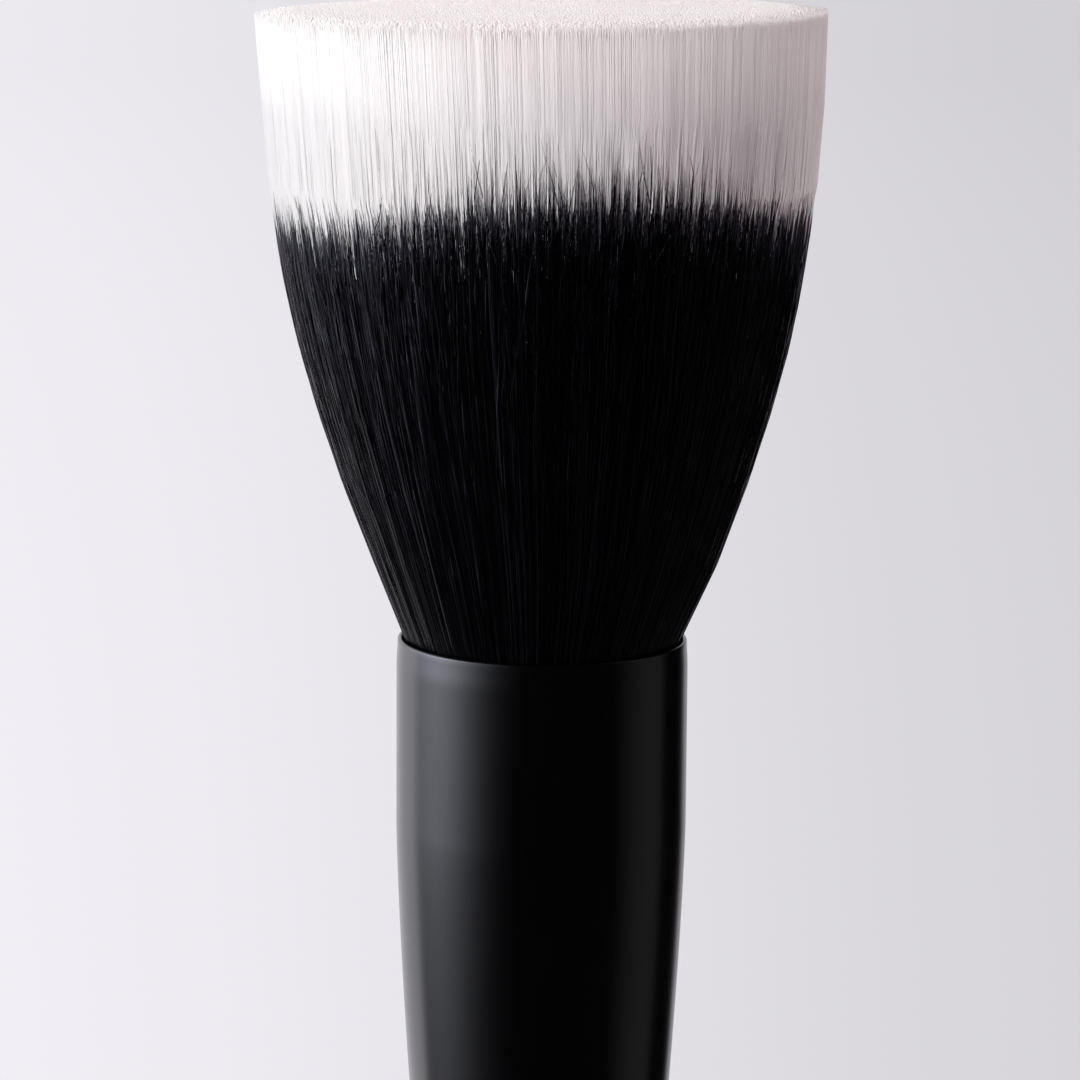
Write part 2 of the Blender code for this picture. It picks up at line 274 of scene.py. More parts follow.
# Camera, as found from the photograph
CAMERA_PLACE = (-0.00020, -0.28948, 0.20014)
CAMERA_PITCH_DOWN = math.radians(10.02)
CAMERA_ROLL = math.radians(0.4)
SENSOR_WIDTH = 36
FOCAL_LENGTH = 143.33
CLIP_RANGE = (0.01, 50)


def rng_for(name):
    """A seeded random source of its own for each named thing."""
    return np.random.default_rng([SEED, *name.encode()])


def smooth_step(value):
    """Ease from nothing to one as the value goes from nothing to one."""
    value = np.clip(value, 0.0, 1.0)
    return value * value * (3 - 2 * value)


# Outlines


def ferrule_radius(height):
    """Outer radius of the ferrule at a height above its base."""
    taper_length = FERRULE_LENGTH - COLLAR
    drop = max(0.0, (taper_length - height) / taper_length)
    radius = MOUTH_RADIUS - (MOUTH_RADIUS - BASE_RADIUS) * drop ** TAPER_POWER
    for middle in CRIMP_HEIGHTS:
        reach = abs(height - middle) / CRIMP_HALF_WIDTH
        if reach < 1:
            radius -= CRIMP_DEPTH * (1 + math.cos(math.pi * reach)) / 2
    return radius


def lip_inset(height):
    """How far the mouth is drawn in at a height above the ferrule's base."""
    return LIP_DEPTH * float(smooth_step((height - FERRULE_LENGTH + LIP_LENGTH) / LIP_LENGTH))


def tuft_rise(height):
    """Heights above the mouth as shares of the tuft's height, none below the mouth."""
    return np.clip(height / TUFT_HEIGHT, 0.0, 1.0)


def tuft_radius(height):
    """Outer radius of the tuft at heights above the mouth. Below the mouth it narrows to the set roots."""
    rise = tuft_rise(height)
    above = TUFT_MOUTH_RADIUS + (TUFT_TOP_RADIUS - TUFT_MOUTH_RADIUS) * (1 - (1 - rise) ** TUFT_FLARE_POWER)
    above += np.interp(rise, TUFT_STEPS, TUFT_TRIMS)
    depth = np.clip(-height / ROOTS_DEPTH, 0.0, 1.0)
    return above + (ROOTS_RADIUS - TUFT_MOUTH_RADIUS) * depth


def black_edge(turn):
    """Height above the mouth of the outermost black tips: highest at the front and the back."""
    toward = np.degrees((turn + math.pi / 2 + math.pi) % FULL_TURN - math.pi)
    front = np.where(np.abs(toward) > 90, np.sign(toward) * (180 - np.abs(toward)), toward)
    return BLACK_EDGE - np.interp(front, BLACK_EDGE_TURNS, BLACK_EDGE_DROPS)


# Nodes


def new_material(name):
    """An empty node material and its tree, with the output in place."""
    material = bpy.data.materials.new(name)
    material.use_nodes = True
    tree = material.node_tree
    tree.nodes.clear()
    return material, tree, tree.nodes.new("ShaderNodeOutputMaterial")


def node(tree, kind, settings=None, **inputs):
    """A node with its settings and its input values or links. Input names have _ for a space."""
    made = tree.nodes.new("ShaderNode" + kind)
    for key, value in (settings or {}).items():
        setattr(made, key, value)
    for key, value in inputs.items():
        socket = made.inputs[int(key[1:])] if key[1:].isdigit() else made.inputs[key.replace("_", " ")]
        if isinstance(value, bpy.types.NodeSocket):
            tree.links.new(value, socket)
        else:
            socket.default_value = value
    return made


def calculate(tree, kind, first, second=0.0, third=0.0):
    """The result of one Math node."""
    return node(tree, "Math", {"operation": kind}, i0=first, i1=second, i2=third).outputs[0]


def mapped(tree, value, low, high, to_low=0.0, to_high=1.0, ease="LINEAR"):
    """A value taken from one range to another."""
    made = node(tree, "MapRange", {"interpolation_type": ease}, Value=value, From_Min=low, From_Max=high,
                To_Min=to_low, To_Max=to_high)
    return made.outputs["Result"]


def ramp(tree, value, stops):
    """A colour ramp with (place, colour) stops."""
    made = node(tree, "ValToRGB", Fac=value)
    elements = made.color_ramp.elements
    while len(elements) < len(stops):
        elements.new(0.5)
    for element, (place, colour) in zip(elements, stops):
        element.position = place
        element.color = (*colour, 1.0)
    return made.outputs["Color"]


def stretched_noise(tree, scale, stretch, detail=4.0):
    """Noise over object coordinates that is drawn out along Z."""
    place = node(tree, "TexCoord").outputs["Object"]
    drawn = node(tree, "Mapping", Vector=place, Scale=(1.0, 1.0, 1.0 / stretch)).outputs["Vector"]
    return node(tree, "TexNoise", Vector=drawn, Scale=scale, Detail=detail).outputs["Fac"]


def bump(tree, height, distance, strength=1.0):
    """A normal that is raised by a height."""
    return node(tree, "Bump", Height=height, Distance=distance, Strength=strength).outputs["Normal"]


# Materials


def satin_metal():
    """Black satin metal: a fine matt grain round the tube and a few faint handling marks."""
    material, tree, output = new_material("satin_black_metal_fine")
    grain = stretched_noise(tree, scale=5200.0, stretch=0.5)
    cloud = stretched_noise(tree, scale=160.0, stretch=2.5)
    colour = ramp(tree, cloud, ((0.3, (0.0005, 0.0005, 0.0007)), (0.7, (0.0010, 0.0010, 0.0013))))
    matt = mapped(tree, cloud, *NOISE_SPAN, 0.20, 0.25)
    matt = calculate(tree, "ADD", matt, mapped(tree, grain, *NOISE_SPAN, -0.015, 0.015))
    shader = node(tree, "BsdfPrincipled", Base_Color=colour, Roughness=matt,
                  Normal=bump(tree, grain, distance=0.0000008))
    shader.inputs["Specular IOR Level"].default_value = 0.95
    tree.links.new(shader.outputs[0], output.inputs[0])
    return material


def lacquered_wood():
    """Gloss black lacquer, through which the turned wood's long grain just shows in the surface."""
    material, tree, output = new_material("lacquered_wood_fine")
    pores = stretched_noise(tree, scale=2600.0, stretch=22.0, detail=6.0)
    ripples = stretched_noise(tree, scale=260.0, stretch=3.0, detail=2.0)
    colour = ramp(tree, pores, ((0.35, (0.0085, 0.0083, 0.0085)), (0.7, (0.0140, 0.0132, 0.0130))))
    matt = mapped(tree, ripples, *NOISE_SPAN, 0.17, 0.23)
    raised = calculate(tree, "ADD", calculate(tree, "MULTIPLY", pores, 0.35), ripples)
    shader = node(tree, "BsdfPrincipled", Base_Color=colour, Roughness=matt,
                  Normal=bump(tree, raised, distance=0.000004))
    shader.inputs["Coat Weight"].default_value = 0.6
    shader.inputs["Coat Roughness"].default_value = 0.12
    tree.links.new(shader.outputs[0], output.inputs[0])
    return material


def black_hair():
    """Soft black hair, each strand a little different in colour and gloss. Its tips are paler and bluish:
    partly the hair's own paler tips, partly painted sheen.
    """
    material, tree, output = new_material("black_hair_fine")
    tone = node(tree, "Attribute", {"attribute_name": "tone"}).outputs["Fac"]
    reach = node(tree, "Attribute", {"attribute_name": "reach"}).outputs["Fac"]
    body = ramp(tree, tone, ((0.0, (0.0004, 0.0004, 0.0006)), (0.8, (0.0010, 0.0010, 0.0014)),
                             (1.0, (0.006, 0.006, 0.008))))
    # Paler, bluish tips: partly the hair's own paler tips, partly painted sheen
    pale_tip_and_sheen = ramp(tree, tone, ((0.0, (0.020, 0.020, 0.028)), (1.0, (0.110, 0.110, 0.145))))
    fade = mapped(tree, reach, HAIR_PALE_TIP_AND_SHEEN_START, 1.0, ease="SMOOTHSTEP")
    colour = node(tree, "MixRGB", Fac=fade, Color1=body, Color2=pale_tip_and_sheen).outputs[0]
    matt = mapped(tree, tone, 0.0, 1.0, 0.18, 0.30)
    shader = node(tree, "BsdfPrincipled", Base_Color=colour, Roughness=matt)
    shader.inputs["Specular IOR Level"].default_value = 0.24
    shader.inputs["Specular Tint"].default_value = (0.86, 0.86, 1.0, 1.0)
    tree.links.new(shader.outputs[0], output.inputs[0])
    return material


def white_fibre():
    """White synthetic fibre that lets some light through. Its lower part, among the black hair, is darkened
    with painted shade.
    """
    material, tree, output = new_material("white_fibre_fine")
    tone = node(tree, "Attribute", {"attribute_name": "tone"}).outputs["Fac"]
    reach = node(tree, "Attribute", {"attribute_name": "reach"}).outputs["Fac"]
    bare = ramp(tree, tone, ((0.0, (0.965, 0.935, 0.935)), (0.5, (0.985, 0.962, 0.962)),
                             (1.0, (0.995, 0.978, 0.978))))
    # Painted shade: the fibre is dark low down among the black hair and turns white above it
    free = mapped(tree, reach, *FIBRE_SHADE_FADE_SPAN, ease="SMOOTHSTEP")
    colour = node(tree, "MixRGB", Fac=free, Color1=FIBRE_PAINTED_SHADE_COLOUR, Color2=bare).outputs[0]
    matt = mapped(tree, tone, 0.0, 1.0, 0.38, 0.50)
    surface = node(tree, "BsdfPrincipled", Base_Color=colour, Roughness=matt)
    surface.inputs["Specular IOR Level"].default_value = 0.4
    through = node(tree, "BsdfTranslucent", Color=colour)
    shader = node(tree, "MixShader", Fac=FIBRE_THROUGH_SHARE, i1=surface.outputs[0], i2=through.outputs[0])
    tree.links.new(shader.outputs[0], output.inputs[0])
    return material


def cured_adhesive():
    """Amber adhesive with small bubbles."""
    material, tree, output = new_material("cured_adhesive_fine")
    spots = node(tree, "TexVoronoi", Vector=node(tree, "TexCoord").outputs["Object"], Scale=1400.0)
    bubble = mapped(tree, spots.outputs["Distance"], 0.05, 0.35)
    cloud = stretched_noise(tree, scale=420.0, stretch=1.5)
    colour = ramp(tree, cloud, ((0.3, (0.50, 0.39, 0.20)), (0.7, (0.68, 0.58, 0.38))))
    matt = mapped(tree, cloud, *NOISE_SPAN, 0.30, 0.48)
    shader = node(tree, "BsdfPrincipled", Base_Color=colour, Roughness=matt,
                  Normal=bump(tree, bubble, distance=0.00003))
    shader.inputs["Coat Weight"].default_value = 0.3
    tree.links.new(shader.outputs[0], output.inputs[0])
    return material


def root_resin():
    """Dark resin with the ends of the set roots in it."""
    material, tree, output = new_material("root_resin_fine")
    spots = node(tree, "TexVoronoi", Vector=node(tree, "TexCoord").outputs["Object"], Scale=3600.0)
    root = mapped(tree, spots.outputs["Distance"], 0.10, 0.45)
    colour = ramp(tree, root, ((0.0, (0.03, 0.027, 0.025)), (1.0, (0.12, 0.105, 0.09))))
    cloud = stretched_noise(tree, scale=500.0, stretch=1.0)
    matt = mapped(tree, cloud, *NOISE_SPAN, 0.22, 0.40)
    shader = node(tree, "BsdfPrincipled", Base_Color=colour, Roughness=matt,
                  Normal=bump(tree, root, distance=0.00003))
    tree.links.new(shader.outputs[0], output.inputs[0])
    return material


# Turned pieces


def arc(centre, radius, start, end, steps):
    """Points of a circular arc between two angles in degrees, both ends included."""
    turns = [math.radians(start + (end - start) * step / steps) for step in range(steps + 1)]
    return [(centre[0] + radius * math.cos(turn), centre[1] + radius * math.sin(turn)) for turn in turns]


def bezier(corners, steps):
    """Points of a cubic curve after its first point."""
    points = []
    for step in range(1, steps + 1):
        t = step / steps
        weights = ((1 - t) ** 3, 3 * t * (1 - t) ** 2, 3 * t ** 2 * (1 - t), t ** 3)
        points.append(tuple(sum(w * corner[axis] for w, corner in zip(weights, corners))
                            for axis in range(2)))
    return points


def turned(name, outline, sides, material, closed):
    """Revolve an outline of (radius, height) points. Its ends lie on the axis unless it is closed."""
    outline = np.array(outline, float)
    rows = len(outline)
    turns = np.arange(sides) * FULL_TURN / sides
    ring = np.stack((np.cos(turns), np.sin(turns)), axis=1)
    points = np.empty((rows, sides, 3))
    points[:, :, :2] = outline[:, None, 0:1] * ring[None]
    points[:, :, 2] = outline[:, 1:2]
    number = np.arange(rows * sides).reshape(rows, sides)
    upper = number if closed else number[:-1]
    lower = np.roll(number, -1, axis=0) if closed else number[1:]
    faces = np.stack((upper, lower, np.roll(lower, -1, axis=1), np.roll(upper, -1, axis=1)), axis=-1)
    mesh = bpy.data.meshes.new(name)
    mesh.from_pydata(points.reshape(-1, 3).tolist(), [], faces.reshape(-1, 4).tolist())
    mesh.materials.append(material)
    mesh.validate()
    thing = bpy.data.objects.new(name, mesh)
    bpy.context.scene.collection.objects.link(thing)
    clean_up(thing)
    return thing


def clean_up(thing):
    """Weld what meets on the axis, face the surface outwards and shade it smooth but for its edges."""
    shape = bmesh.new()
    shape.from_mesh(thing.data)
    bmesh.ops.remove_doubles(shape, verts=shape.verts, dist=WELD_DISTANCE)
    bmesh.ops.dissolve_degenerate(shape, edges=shape.edges, dist=SLIVER_LENGTH)
    bmesh.ops.recalc_face_normals(shape, faces=shape.faces)
    shape.to_mesh(thing.data)
    shape.free()
    thing.data.shade_smooth()
    thing.data.set_sharp_from_angle(angle=SHARP_EDGE)


def ferrule_outline():
    """The ferrule's outline: round the rolled lip, down the outside, and back up the bore."""
    top = FERRULE_LENGTH - LIP_ROUND
    lip = (ferrule_radius(top) - LIP_DEPTH - LIP_ROUND, FERRULE_BASE_Z + top)
    outline = arc(lip, LIP_ROUND, 180, 0, LIP_STEPS)
    heights = np.linspace(top, 0, FERRULE_ROWS + 1)[1:]
    outline += [(ferrule_radius(h) - lip_inset(h), FERRULE_BASE_Z + h) for h in heights]
    outline += [(ferrule_radius(h) - lip_inset(h) - WALL, FERRULE_BASE_Z + h) for h in heights[::-1]]
    return outline


def handle_outline():
    """The handle's outline, from the top of its tenon down to the butt."""
    heights = np.linspace(TENON_TOP_Z - TENON_CHAMFER, HANDLE_LENGTH, TENON_STEPS)
    tenon = [(ferrule_radius(max(h - FERRULE_BASE_Z, 0)) - WALL - TENON_GAP, h) for h in heights]
    outline = [(0, TENON_TOP_Z), (tenon[0][0] - TENON_CHAMFER, TENON_TOP_Z)] + tenon
    shoulder = (BASE_RADIUS - SHOULDER_ROUND, HANDLE_LENGTH - SHOULDER_ROUND)
    outline += arc(shoulder, SHOULDER_ROUND, 90, 0, SHOULDER_STEPS)
    start = outline[-1]
    belly = (BELLY_RADIUS, HANDLE_LENGTH - BELLY_DROP)
    belly_lead = (BELLY_RADIUS, (start[1] + belly[1]) / 2)
    start_lead = (start[0] + (belly[0] - start[0]) / 2, (start[1] + belly_lead[1]) / 2)
    outline += bezier((start, start_lead, belly_lead, belly), BELLY_STEPS)
    foot = (BUTT_RADIUS, BUTT_ROUND)
    grip = belly[1] - foot[1]
    grip_lead = (belly[0], belly[1] - grip * GRIP_LEAD_SHARE)
    grip_tail = (foot[0], foot[1] + grip * GRIP_TAIL_SHARE)
    outline += bezier((belly, grip_lead, grip_tail, foot), GRIP_STEPS)
    outline += arc((foot[0] - BUTT_ROUND, BUTT_ROUND), BUTT_ROUND, 0, -90, BUTT_STEPS)[1:]
    outline.append((0, 0))
    return outline


# Tuft


def tube_rings(lines, spin):
    """Vectors from each point of each strand's line toward the sides of its tube."""
    along = np.gradient(lines, axis=1)
    along /= np.linalg.norm(along, axis=2, keepdims=True)
    side = np.stack((np.cos(spin), np.sin(spin), np.zeros(len(spin))), axis=1)[:, None]
    side = side - along * (along * side).sum(axis=2, keepdims=True)
    side /= np.linalg.norm(side, axis=2, keepdims=True)
    across = np.cross(along, side)
    turns = np.arange(STRAND_SIDES) * FULL_TURN / STRAND_SIDES
    return side[:, :, None] * np.cos(turns)[:, None] + across[:, :, None] * np.sin(turns)[:, None]


def tube_faces(count, rows):
    """Corner numbers and first corners of closed tubes: the quads of their sides, then a cap at each end."""
    number = np.arange(count * rows * STRAND_SIDES).reshape(count, rows, STRAND_SIDES)
    upper, lower = number[:, 1:], number[:, :-1]
    quads = np.stack((lower, np.roll(lower, -1, axis=2), np.roll(upper, -1, axis=2), upper), axis=-1)
    caps = np.concatenate((number[:, 0, ::-1], number[:, -1]))
    quad_count = quads.size // 4
    starts = np.concatenate((np.arange(quad_count) * 4,
                             quad_count * 4 + np.arange(len(caps)) * STRAND_SIDES))
    return np.concatenate((quads.ravel(), caps.ravel())), starts


def strand_mesh(name, lines, widths, tone, lean, material):
    """One mesh of thin closed tubes, from each strand's points and its radius at each of them.

    lean is a vector at each point toward which the shading normals are drawn."""
    count, rows = widths.shape
    ring = tube_rings(lines, rng_for(name).uniform(0, FULL_TURN, count))
    points = lines[:, :, None] + ring * widths[:, :, None, None]
    corners, starts = tube_faces(count, rows)
    mesh = bpy.data.meshes.new(name)
    mesh.vertices.add(points.size // 3)
    mesh.vertices.foreach_set("co", points.astype(np.float32).ravel())
    mesh.loops.add(len(corners))
    mesh.loops.foreach_set("vertex_index", corners.astype(np.int32))
    mesh.polygons.add(len(starts))
    mesh.polygons.foreach_set("loop_start", starts.astype(np.int32))
    mesh.polygons.foreach_set("use_smooth", np.ones(len(starts), bool))
    mesh.update(calc_edges=True)
    normals = ring + lean[:, :, None]
    normals /= np.linalg.norm(normals, axis=3, keepdims=True)
    mesh.normals_split_custom_set_from_vertices(normals.reshape(-1, 3).tolist())
    reach = np.repeat(np.tile(np.linspace(0, 1, rows), count), STRAND_SIDES)
    for label, values in (("tone", np.repeat(tone, rows * STRAND_SIDES)), ("reach", reach)):
        attribute = mesh.attributes.new(label, "FLOAT", "POINT")
        attribute.data.foreach_set("value", values.astype(np.float32))
    mesh.materials.append(material)
    thing = bpy.data.objects.new(name, mesh)
    bpy.context.scene.collection.objects.link(thing)
    return thing


def strand_heights(tips, levels):
    """Heights above the mouth of each strand's points, from its set root to its tip."""
    exposed = tips[:, None] * levels[None]
    roots = np.full((len(tips), 1), -ROOTS_DEPTH)
    return np.concatenate((roots, exposed), axis=1)


def strand_lines(heights, shares, turns):
    """Strand points from their heights, shares of the tuft's radius and turns about the axis."""
    radius = shares * tuft_radius(heights)
    across = radius * np.cos(turns)
    rise = tuft_rise(heights)
    shift = np.interp(rise, TUFT_STEPS, TUFT_SHIFTS)
    tilt = TUFT_TILT * across * rise ** 2
    return np.stack((across + shift, radius * np.sin(turns), MOUTH_Z + heights + tilt), axis=-1)


def width_profile(levels, profile):
    """Shares of a strand's full width at its set root and at its levels."""
    places, shares = zip(*profile)
    return np.concatenate((shares[:1], np.interp(levels, places, shares)))


def waves(turns, name, count, low, high):
    """Smooth noise round the axis, with from low to high crests to the turn and a spread of one."""
    chance = rng_for(name)
    total = np.zeros_like(turns)
    for pace, phase in zip(chance.integers(low, high, count), chance.uniform(0, FULL_TURN, count)):
        total += np.cos(pace * turns + phase)
    return total / math.sqrt(count / 2)


def wander(chance, heights, turns, drift, waver):
    """Turns of strands that lean aside by a drift and waver a little on the way."""
    rise = tuft_rise(heights)
    each = (len(turns), 1)
    lean = chance.normal(0, drift, each) * rise
    pace = chance.uniform(*WAVER_PACES, each)
    phase = chance.uniform(0, FULL_TURN, each)
    wobble = waver * np.sin(pace * rise * FULL_TURN / 2 + phase) * rise
    return turns[:, None] + lean + wobble


def scattered(chance, count, low_share, high_share):
    """Turns and radius shares that cover a ring evenly by area, set out as the seeds of a sunflower are."""
    place = np.arange(count) + 0.5
    turns = (place * GOLDEN_TURN + chance.normal(0, SCATTER_TURN, count)) % FULL_TURN
    squares = low_share ** 2 + (high_share ** 2 - low_share ** 2) * place / count
    return turns, np.sqrt(squares) + chance.normal(0, SCATTER_SHARE, count)


def packed(chance, layers, per_layer):
    """Turns and radius shares of strands that lie side by side in a few close layers on the outside."""
    layer = np.repeat(np.arange(layers), per_layer)
    place = np.tile(np.arange(per_layer), layers) + 0.5 * (layer % 2)
    turns = (place + chance.uniform(-SIDE_SPREAD, SIDE_SPREAD, len(place))) * FULL_TURN / per_layer
    shares = 1 - layer * LAYER_SHARE - np.abs(chance.normal(0, LAYER_SPREAD, len(place)))
    mixed = chance.permutation(len(place))
    return turns[mixed] % FULL_TURN, shares[mixed]


def hair_tips(chance, turns, shares):
    """Heights of black tips: the edge, a shallow dome inside it, and each lock's and hair's own chance."""
    count = len(turns)
    dome = BLACK_DOME_RISE * (1 - shares ** 2)
    locks = TALL_LOCK_RISE * waves(turns, *TALL_LOCKS)
    locks += SMALL_LOCK_RISE * waves(turns, *SMALL_LOCKS)
    single = chance.normal(0, HAIR_TIP_SPREAD, count) + chance.exponential(HAIR_TIP_REACH, count)
    return black_edge(turns) + dome + locks + single


def gather(chance, turns, lock_count):
    """The lock that each hair belongs to: the turn of its middle and the lock's own lean."""
    lock_turns = np.sort(chance.uniform(0, FULL_TURN, lock_count))
    depth = chance.integers(0, LOCK_LAYERS, len(turns))
    shifted = (turns + depth * LOCK_LAYER_TURN) % FULL_TURN
    place = np.searchsorted(lock_turns, shifted) % lock_count
    middle = (lock_turns[place] - depth * LOCK_LAYER_TURN) % FULL_TURN
    lean = chance.normal(0, 1.0, lock_count)[place]
    return middle, lean


def hair_lean(chance, heights, turns):
    """Vectors toward which black hair's normals are drawn: outwards, and down with the tuft's flare."""
    strand_turn = chance.normal(0, STRAND_TURN_SPREAD, (len(turns), 1))
    facing = turns + strand_turn + chance.normal(0, POINT_TURN_SPREAD, turns.shape)
    slope = (tuft_radius(heights + SLOPE_STEP) - tuft_radius(heights)) / SLOPE_STEP
    nod = chance.normal(0, NOD_SPREAD, turns.shape) - HAIR_SLOPE_SHARE * slope
    return HAIR_LEAN * np.stack((np.cos(facing), np.sin(facing), nod), axis=-1)


def black_strands(chance, turns, shares, lock_count):
    """Lines, radii, tones and leans of black hair that gathers into small pointed locks."""
    count = len(turns)
    middle, lock_lean = gather(chance, turns, lock_count)
    heights = strand_heights(hair_tips(chance, turns, shares), HAIR_LEVELS)
    share_rows = shares[:, None] * np.ones_like(heights)
    turn_rows = wander(chance, heights, turns, HAIR_DRIFT, chance.exponential(HAIR_WAVER, (count, 1)))
    gap = (middle - turns + math.pi) % FULL_TURN - math.pi
    pull = np.clip(heights / heights[:, -1:], 0, 1) ** 2
    turn_rows += np.clip(gap, -LOCK_REACH, LOCK_REACH)[:, None] * pull * LOCK_PULL
    turn_rows += (lock_lean * LOCK_LEAN)[:, None] * tuft_rise(heights) ** 2
    thick = chance.uniform(*HAIR_WIDTH_SHARES, (count, 1)) * HAIR_WIDTH / 2
    lean = hair_lean(chance, heights, turn_rows)
    return (strand_lines(heights, share_rows, turn_rows), thick * width_profile(HAIR_LEVELS, HAIR_PROFILE),
            chance.uniform(0, 1, count), lean)


def surface_lean(heights, shares, turns):
    """Vectors toward which white fibre's normals are drawn: out on the tuft's side, up at its cut top."""
    near_top = smooth_step((heights - heights[:, -1:] + CUT_DEPTH) / CUT_DEPTH)
    inside = smooth_step((1.0 - shares) / INSIDE_SHARE)
    up = UP_LEAN * near_top
    out = SIDE_LEAN * (1 - near_top * (RIM_UP_SHARE + (1 - RIM_UP_SHARE) * inside))
    return np.stack((out * np.cos(turns), out * np.sin(turns), up), axis=-1)


def white_strands(chance, turns, shares, cut_spread, drift, levels=FIBRE_LEVELS, width=FIBRE_WIDTH):
    """Lines, radii, tones and leans of white fibre, which fans out over the black tips to a flat top."""
    count = len(turns)
    tips = TUFT_HEIGHT - CUT_GAP - np.abs(chance.normal(0, cut_spread, count))
    rim = np.clip((shares - RIM_START) / (1 - RIM_START), 0, 1) ** 2
    tips -= rim * (RIM_DROP + np.abs(chance.normal(0, RIM_SPREAD, count)))
    heights = strand_heights(tips, levels)
    rise = tuft_rise(heights)
    start = black_edge(turns) - FAN_START_DROP + chance.normal(0, FAN_START_SPREAD, count)
    fan = smooth_step((heights - start[:, None]) / FAN_LENGTH)
    share_rows = shares[:, None] * (FIBRE_HELD_SHARE + (1 - FIBRE_HELD_SHARE) * fan)
    groove = np.clip(waves(turns, *GROOVES) - GROOVE_FLOOR, 0, GROOVE_DEPTH)
    share_rows -= (GROOVE_SHARE * groove)[:, None] * rise ** 2
    turn_rows = wander(chance, heights, turns, drift, drift / 3)
    turn_rows += (FIBRE_LEAN * waves(turns, *LEANS))[:, None] * rise ** 2
    thick = chance.uniform(*FIBRE_WIDTH_SHARES, (count, 1)) * width / 2
    tone = 0.5 + TONE_WAVE * waves(turns, *TONES) + chance.uniform(-TONE_SPREAD, TONE_SPREAD, count)
    return (strand_lines(heights, share_rows, turn_rows), thick * width_profile(levels, FIBRE_PROFILE),
            np.clip(tone, 0, 1), surface_lean(heights, share_rows, turn_rows))


def over_strands(chance, turns):
    """Lines, radii, tones and leans of single white fibres that lie over the black edge."""
    count = len(turns)
    reach_down = OVER_REACH_DOWN + chance.exponential(OVER_REACH_SPREAD, count)
    tips = TUFT_HEIGHT - OVER_CUT_GAP - np.abs(chance.normal(0, OVER_CUT_SPREAD, count))
    heights = strand_heights(tips, FIBRE_LEVELS)
    start = black_edge(turns) - reach_down
    fan = smooth_step((heights - start[:, None]) / OVER_FAN_LENGTH)
    held = OVER_HELD_SHARE + (1 - OVER_HELD_SHARE) * fan
    share_rows = chance.uniform(*OVER_SHARES, count)[:, None] * held
    slant = chance.normal(0, OVER_SLANT, count)[:, None]
    turn_rows = turns[:, None] + slant * (tuft_rise(heights) - OVER_PIVOT)
    thick = chance.uniform(*OVER_WIDTH_SHARES, (count, 1)) * FIBRE_WIDTH / 2
    return (strand_lines(heights, share_rows, turn_rows), thick * width_profile(FIBRE_LEVELS, OVER_PROFILE),
            chance.uniform(0, 1, count), surface_lean(heights, share_rows, turn_rows))


def dress(thing, cad_node):
    """Fix a piece to the body and let it stand for its CAD node."""
    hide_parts(cad_node)
    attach(thing, "root")


def add_strands(name, strands, material, cad_node):
    """Strands as pieces of a size that the exported model can hold, standing for one CAD node."""
    lines, widths, tone, lean = strands
    triangles = 2 * STRAND_SIDES * (widths.shape[1] - 1) + 2 * (STRAND_SIDES - 2)
    parts = math.ceil(len(lines) * triangles / PIECE_TRIANGLES)
    for part in range(parts):
        take = slice(part, None, parts)
        thing = strand_mesh(f"{name}_{part + 1}", lines[take], widths[take], tone[take], lean[take],
                            material)
        dress(thing, cad_node)


def add_black_hair(material):
    """Black hair: close layers outside, looser hair behind them, and a thin heart."""
    chance = rng_for("black shell")
    close = packed(chance, HAIR_LAYERS, HAIRS_PER_LAYER)
    loose = scattered(chance, LOOSE_HAIRS, *LOOSE_HAIR_RING)
    turns, shares = (np.concatenate(pair) for pair in zip(close, loose))
    add_strands("black_hair_shell", black_strands(chance, turns, shares, SHELL_LOCKS), material,
                "black_hair_outer")
    chance = rng_for("black heart")
    turns, shares = scattered(chance, HEART_HAIRS, *HAIR_HEART)
    add_strands("black_hair_heart", black_strands(chance, turns, shares, HEART_LOCKS), material,
                "black_hair_inner")


def add_white_fibre(material):
    """White fibre: close layers outside, single fibres over the black edge, and a thick ring and heart."""
    chance = rng_for("white shell")
    turns, shares = packed(chance, FIBRE_LAYERS, FIBRES_PER_LAYER)
    add_strands("white_fibre_shell", white_strands(chance, turns, shares, SHELL_CUT_SPREAD, SHELL_DRIFT),
                material, "white_fibre_outer")
    chance = rng_for("white over")
    add_strands("white_fibre_over", over_strands(chance, chance.uniform(0, FULL_TURN, OVER_FIBRES)),
                material, "white_fibre_outer")
    for part, count, ring, cad_node in (("ring", RING_FIBRES, FIBRE_RING, "white_fibre_outer"),
                                        ("heart", HEART_FIBRES, FIBRE_HEART, "white_fibre_core")):
        chance = rng_for(f"white {part}")
        turns, shares = scattered(chance, count, *ring)
        strands = white_strands(chance, turns, shares, INNER_CUT_SPREAD, INNER_DRIFT, INNER_LEVELS,
                                INNER_WIDTH)
        add_strands(f"white_fibre_{part}", strands, material, cad_node)


# Stage


def pale_level(tree, across, toward):
    """Brightness of the pale backdrop, with painted light that is lighter on the left than on the right, and
    the distance to it.
    """
    length = calculate(tree, "SQRT", calculate(tree, "ADD", calculate(tree, "MULTIPLY", across, across),
                                               calculate(tree, "MULTIPLY", toward, toward)))
    side = calculate(tree, "DIVIDE", across, calculate(tree, "MAXIMUM", length, LEAST_LENGTH))
    painted_light_swing = calculate(tree, "TANH", calculate(tree, "MULTIPLY", side, PALE_STEEPNESS))
    return calculate(tree, "ADD", calculate(tree, "MULTIPLY", painted_light_swing, PALE_PAINTED_LIGHT_SWING), PALE_LEVEL), length


def pale_colour(tree, level):
    """The lavender grey of the surroundings at a brightness."""
    red, green, blue = (calculate(tree, "MULTIPLY", level, share) for share in PALE_TINT)
    return node(tree, "CombineColor", Red=red, Green=green, Blue=blue).outputs[0]


